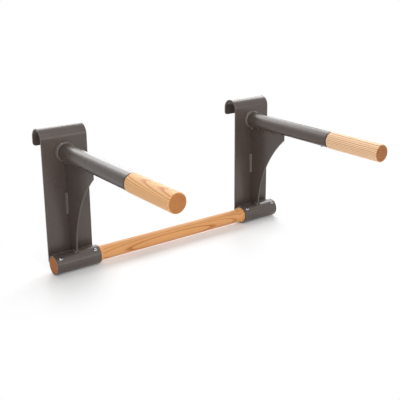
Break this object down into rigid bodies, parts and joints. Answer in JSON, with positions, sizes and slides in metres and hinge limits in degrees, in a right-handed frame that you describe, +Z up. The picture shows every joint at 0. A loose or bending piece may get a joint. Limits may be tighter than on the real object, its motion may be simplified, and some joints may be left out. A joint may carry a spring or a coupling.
{
  "type": "hook-on pull-up and dip bar",
  "caption": "Pull-up and dip attachment for a wall ladder: hooked steel brackets with round arms and wooden grips, joined at the bottom by a wooden cross rod.",
  "frame": {"origin": "centre of the rung that both hooks hang on, midway between the two brackets", "axes": "+X along the rung and the cross rod to the right as seen by a person in front, +Y towards the wall, so the arms point to -Y, +Z up"},
  "size_m": [0.65, 0.4866, 0.3275],
  "materials": {
    "powder_coat": "warm dark grey powder coat, satin, over sheet and tube steel",
    "coated_weld": "the same powder coat over rippled weld beads",
    "grip_wood": "pale turned wood with fine straight grain, clear satin lacquer",
    "rod_wood": "turned wood, more orange, with darker long grain lines, clear satin lacquer",
    "screw_zinc": "bright zinc plated pan heads"
  },
  "bodies": {
    "root": {"left_hook_plate": "powder_coat", "left_arm_tube": "powder_coat", "left_gusset": "powder_coat", "left_rod_sleeve": "powder_coat", "left_grip": "grip_wood", "left_grip_screw": "screw_zinc", "left_rod_screws": "screw_zinc", "left_arm_root_weld": "coated_weld", "left_gusset_plate_welds": "coated_weld", "left_gusset_arm_welds": "coated_weld", "left_gusset_foot_welds": "coated_weld", "left_sleeve_welds": "coated_weld", "right_hook_plate": "powder_coat", "right_arm_tube": "powder_coat", "right_gusset": "powder_coat", "right_rod_sleeve": "powder_coat", "right_grip": "grip_wood", "right_grip_screw": "screw_zinc", "right_rod_screws": "screw_zinc", "right_arm_root_weld": "coated_weld", "right_gusset_plate_welds": "coated_weld", "right_gusset_arm_welds": "coated_weld", "right_gusset_foot_welds": "coated_weld", "right_sleeve_welds": "coated_weld", "cross_rod": "rod_wood"}
  },
  "joints": []
}
